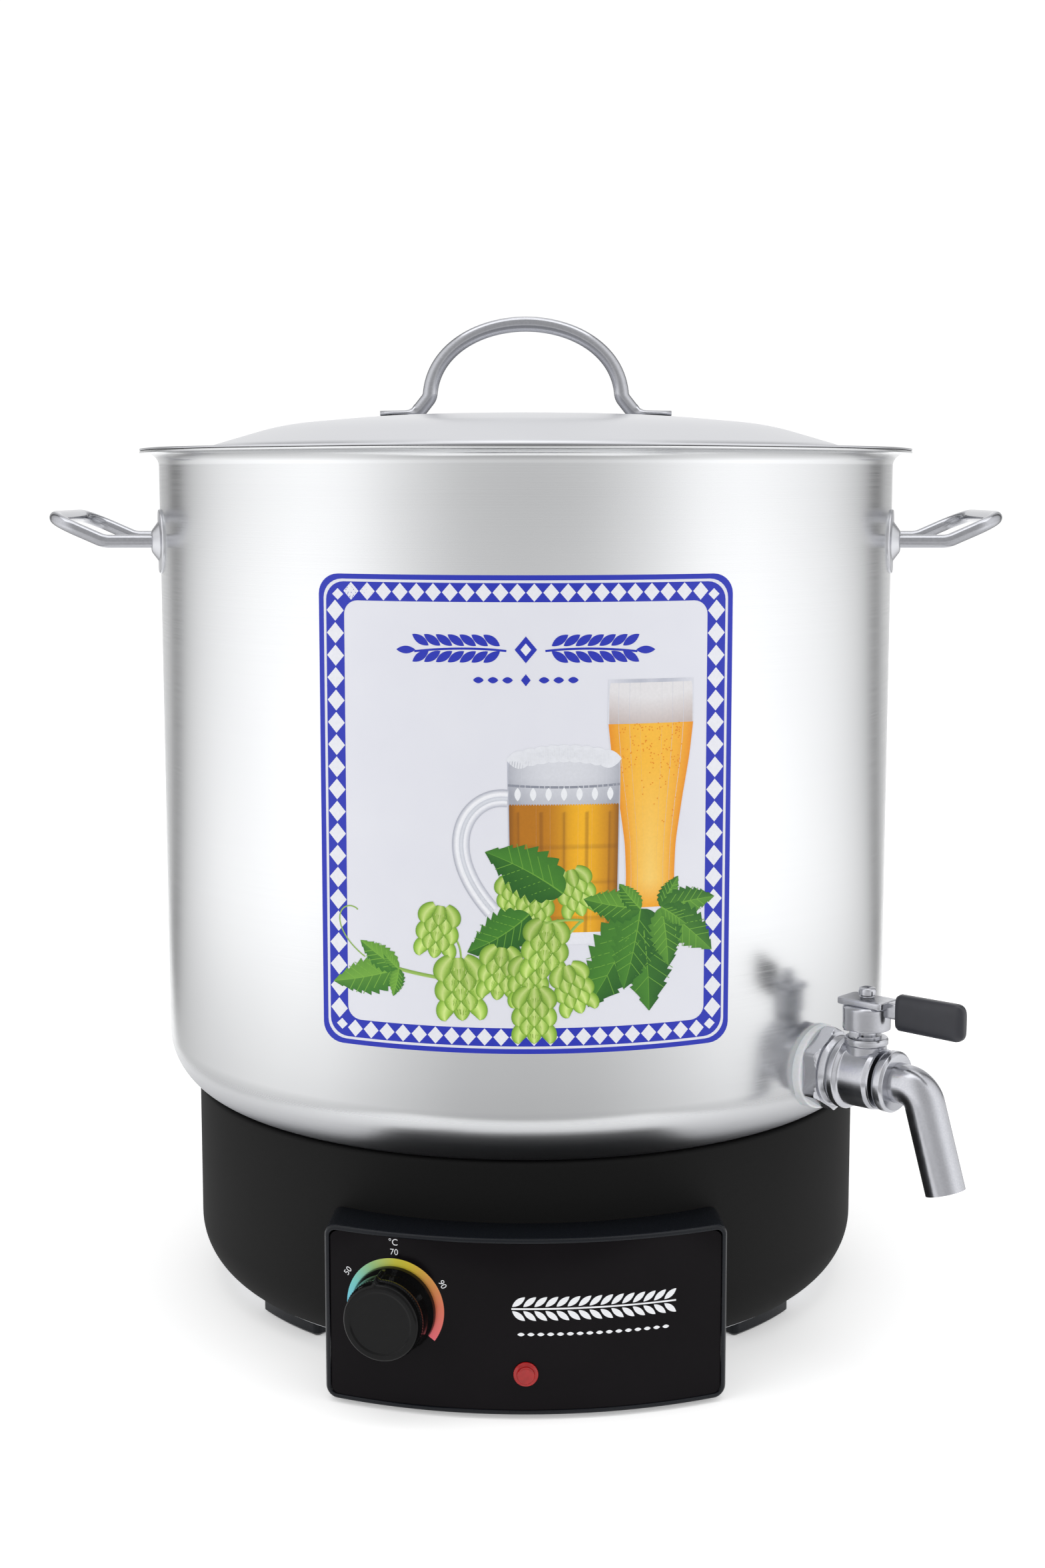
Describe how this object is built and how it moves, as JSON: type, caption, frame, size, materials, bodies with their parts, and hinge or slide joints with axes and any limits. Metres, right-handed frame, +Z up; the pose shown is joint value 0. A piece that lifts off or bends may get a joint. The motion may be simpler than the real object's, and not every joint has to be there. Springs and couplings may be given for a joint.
{
  "type": "brew kettle",
  "caption": "Electric brew kettle: lidded steel pot on a heated black base, with two side handles, a ball tap with curved spout, and a dial box with a lamp.",
  "frame": {"origin": "on the floor, under the axis of the pot", "axes": "+Z up along the pot's axis; the control box faces -Y; the tap is to the front right, towards +X"},
  "size_m": [0.4522, 0.398, 0.4669],
  "materials": {
    "brushed_stainless": "satin brushed",
    "polished_sheet": "bright satin",
    "handle_rod": "polished",
    "printed_label": "printed satin film",
    "black_housing": "satin",
    "zinc_steel": "zinc plated",
    "heater_aluminium": "cast",
    "element_sheath": "dull",
    "blue_black_plastic": "satin",
    "gloss_foil": "gloss",
    "red_lens": "clear gloss",
    "lamp_glass": "clear",
    "pale_plastic": "moulded",
    "copper_tube": "drawn",
    "white_silicone": "translucent satin",
    "polished_stainless": "polished",
    "white_ptfe": "smooth",
    "black_vinyl": "satin dipped"
  },
  "bodies": {
    "kettle": {"pot_shell": "brushed_stainless", "pot_label": "printed_label", "side_handle_left": "handle_rod", "side_handle_right": "handle_rod", "side_handle_lugs_left": "polished_sheet", "side_handle_lugs_right": "polished_sheet", "base_housing": "black_housing", "bottom_pan": "zinc_steel", "pan_screws": "zinc_steel", "foot_front_left": "black_housing", "foot_front_right": "black_housing", "foot_rear_left": "black_housing", "foot_rear_right": "black_housing", "heat_plate": "heater_aluminium", "heating_element": "element_sheath", "element_clamp": "zinc_steel", "clamp_stud": "zinc_steel", "clamp_nut": "zinc_steel", "thermal_cutout": "zinc_steel", "control_box": "blue_black_plastic", "control_panel": "gloss_foil", "box_screws": "zinc_steel", "indicator_lens": "red_lens", "indicator_lamp": "lamp_glass", "thermostat_body": "pale_plastic", "thermostat_nut": "zinc_steel", "thermostat_sensor": "copper_tube", "terminal_block": "pale_plastic", "cord_gland": "blue_black_plastic", "gland_nut": "blue_black_plastic", "tap_gasket": "white_silicone", "tap_body": "polished_stainless", "tap_inner_gasket": "white_silicone", "tap_inner_nut": "polished_stainless", "ball_seat_inner": "white_ptfe", "ball_seat_outer": "white_ptfe", "stem_packing": "white_ptfe", "stem_gland_nut": "polished_stainless", "spout_collar": "polished_stainless", "spout": "polished_stainless"},
    "lid": {"lid": "polished_sheet", "lid_handle": "handle_rod"},
    "dial": {"knob": "blue_black_plastic", "thermostat_shaft": "zinc_steel"},
    "lever": {"tap_lever": "polished_stainless", "lever_sleeve": "black_vinyl", "lever_washer": "zinc_steel", "lever_screw": "zinc_steel", "tap_stem": "polished_stainless", "tap_ball": "polished_stainless"}
  },
  "joints": [
    {"name": "lid_lift", "type": "slide", "parent": "kettle", "child": "lid", "axis": [0, 0, 1], "range_m": [0, 0.12]},
    {"name": "dial_turn", "type": "hinge", "parent": "kettle", "child": "dial", "pos_m": [-0.05513, -0.19225, 0.045], "axis": [-0.2756, -0.9613, 0], "range_deg": [-136, 80]},
    {"name": "lever_turn", "type": "hinge", "parent": "kettle", "child": "lever", "pos_m": [0.14937, -0.1345, 0.15], "axis": [0, 0, 1], "range_deg": [-90, 0]}
  ]
}
